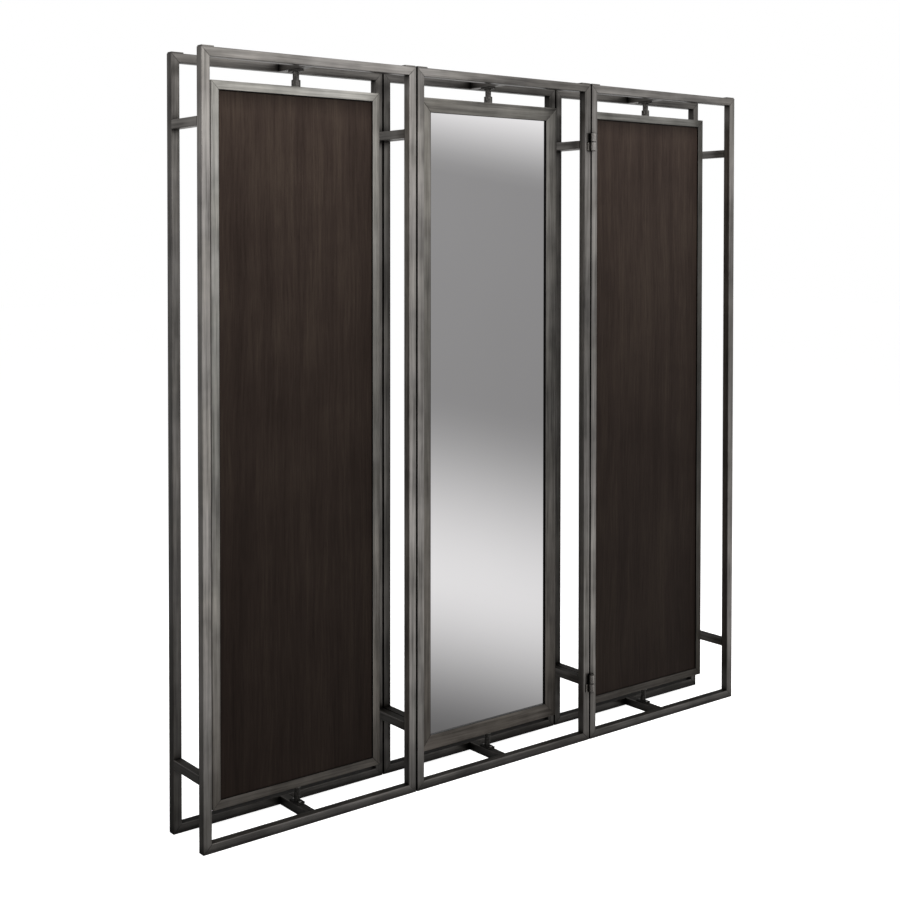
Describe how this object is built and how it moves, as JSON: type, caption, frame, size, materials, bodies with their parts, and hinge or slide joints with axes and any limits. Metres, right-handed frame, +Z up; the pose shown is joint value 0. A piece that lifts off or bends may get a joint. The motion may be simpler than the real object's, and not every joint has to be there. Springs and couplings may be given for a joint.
{
  "type": "folding room divider screen",
  "caption": "Folding screen of hinged double tube frames, each holding a pivoting panel with a dark wood side and a mirror side.",
  "frame": {"origin": "centre of the width and depth of the open screen, on the floor that its bottom rails stand on", "axes": "+X along the width, from the left section to the right one seen from the front; +Z up; -Y is the front, where the hinges between the centre and right sections are"},
  "size_m": [1.988, 0.211, 1.983],
  "materials": {
    "pewter": "brushed antique pewter",
    "pewter_panel": "brushed antique pewter over aluminium, a little lighter and greener",
    "dark_steel": "aged dark steel, satin",
    "bright_steel": "plain steel",
    "espresso_wood": "espresso veneer, satin lacquer, vertical grain",
    "hardboard": "raw hardboard",
    "mirror_glass": "silvered glass",
    "nylon": "natural nylon"
  },
  "bodies": {
    "centre_section": {"centre_front_frame": "pewter", "centre_rear_frame": "pewter", "centre_lower_left_spacer": "pewter", "centre_lower_right_spacer": "pewter", "centre_upper_left_spacer": "pewter", "centre_upper_right_spacer": "pewter", "centre_bottom_crossbar": "pewter", "centre_top_crossbar": "pewter", "centre_bottom_pivot_bracket": "dark_steel", "centre_top_pivot_bracket": "dark_steel", "centre_thrust_washer": "nylon", "lower_rear_hinge_centre_leaf": "pewter", "lower_rear_hinge_pin": "bright_steel", "lower_front_hinge_centre_leaf": "pewter", "lower_front_hinge_pin": "bright_steel", "upper_rear_hinge_centre_leaf": "pewter", "upper_rear_hinge_pin": "bright_steel", "upper_front_hinge_centre_leaf": "pewter", "upper_front_hinge_pin": "bright_steel"},
    "left_section": {"left_front_frame": "pewter", "left_rear_frame": "pewter", "left_lower_left_spacer": "pewter", "left_lower_right_spacer": "pewter", "left_upper_left_spacer": "pewter", "left_upper_right_spacer": "pewter", "left_bottom_crossbar": "pewter", "left_top_crossbar": "pewter", "left_bottom_pivot_bracket": "dark_steel", "left_top_pivot_bracket": "dark_steel", "left_thrust_washer": "nylon", "lower_rear_hinge_left_leaf": "pewter", "upper_rear_hinge_left_leaf": "pewter"},
    "right_section": {"right_front_frame": "pewter", "right_rear_frame": "pewter", "right_lower_left_spacer": "pewter", "right_lower_right_spacer": "pewter", "right_upper_left_spacer": "pewter", "right_upper_right_spacer": "pewter", "right_bottom_crossbar": "pewter", "right_top_crossbar": "pewter", "right_bottom_pivot_bracket": "dark_steel", "right_top_pivot_bracket": "dark_steel", "right_thrust_washer": "nylon", "lower_front_hinge_right_leaf": "pewter", "upper_front_hinge_right_leaf": "pewter"},
    "centre_panel": {"centre_panel_frame": "pewter_panel", "centre_wood_panel": "espresso_wood", "centre_backing_board": "hardboard", "centre_mirror": "mirror_glass", "centre_top_collar": "dark_steel"},
    "left_panel": {"left_panel_frame": "pewter_panel", "left_wood_panel": "espresso_wood", "left_backing_board": "hardboard", "left_mirror": "mirror_glass", "left_top_collar": "dark_steel"},
    "right_panel": {"right_panel_frame": "pewter_panel", "right_wood_panel": "espresso_wood", "right_backing_board": "hardboard", "right_mirror": "mirror_glass", "right_top_collar": "dark_steel"}
  },
  "joints": [
    {"name": "left_section_fold", "type": "hinge", "parent": "centre_section", "child": "left_section", "pos_m": [-0.332, 0.0975, 0.99], "axis": [0, 0, -1], "range_deg": [0, 180]},
    {"name": "right_section_fold", "type": "hinge", "parent": "centre_section", "child": "right_section", "pos_m": [0.332, -0.0975, 0.99], "axis": [0, 0, -1], "range_deg": [0, 180]},
    {"name": "left_panel_turn", "type": "hinge", "parent": "left_section", "child": "left_panel", "pos_m": [-0.664, 0, 0.99], "axis": [0, 0, 1], "continuous": true},
    {"name": "centre_panel_turn", "type": "hinge", "parent": "centre_section", "child": "centre_panel", "pos_m": [0, 0, 0.99], "axis": [0, 0, 1], "continuous": true},
    {"name": "right_panel_turn", "type": "hinge", "parent": "right_section", "child": "right_panel", "pos_m": [0.664, 0, 0.99], "axis": [0, 0, 1], "continuous": true}
  ]
}
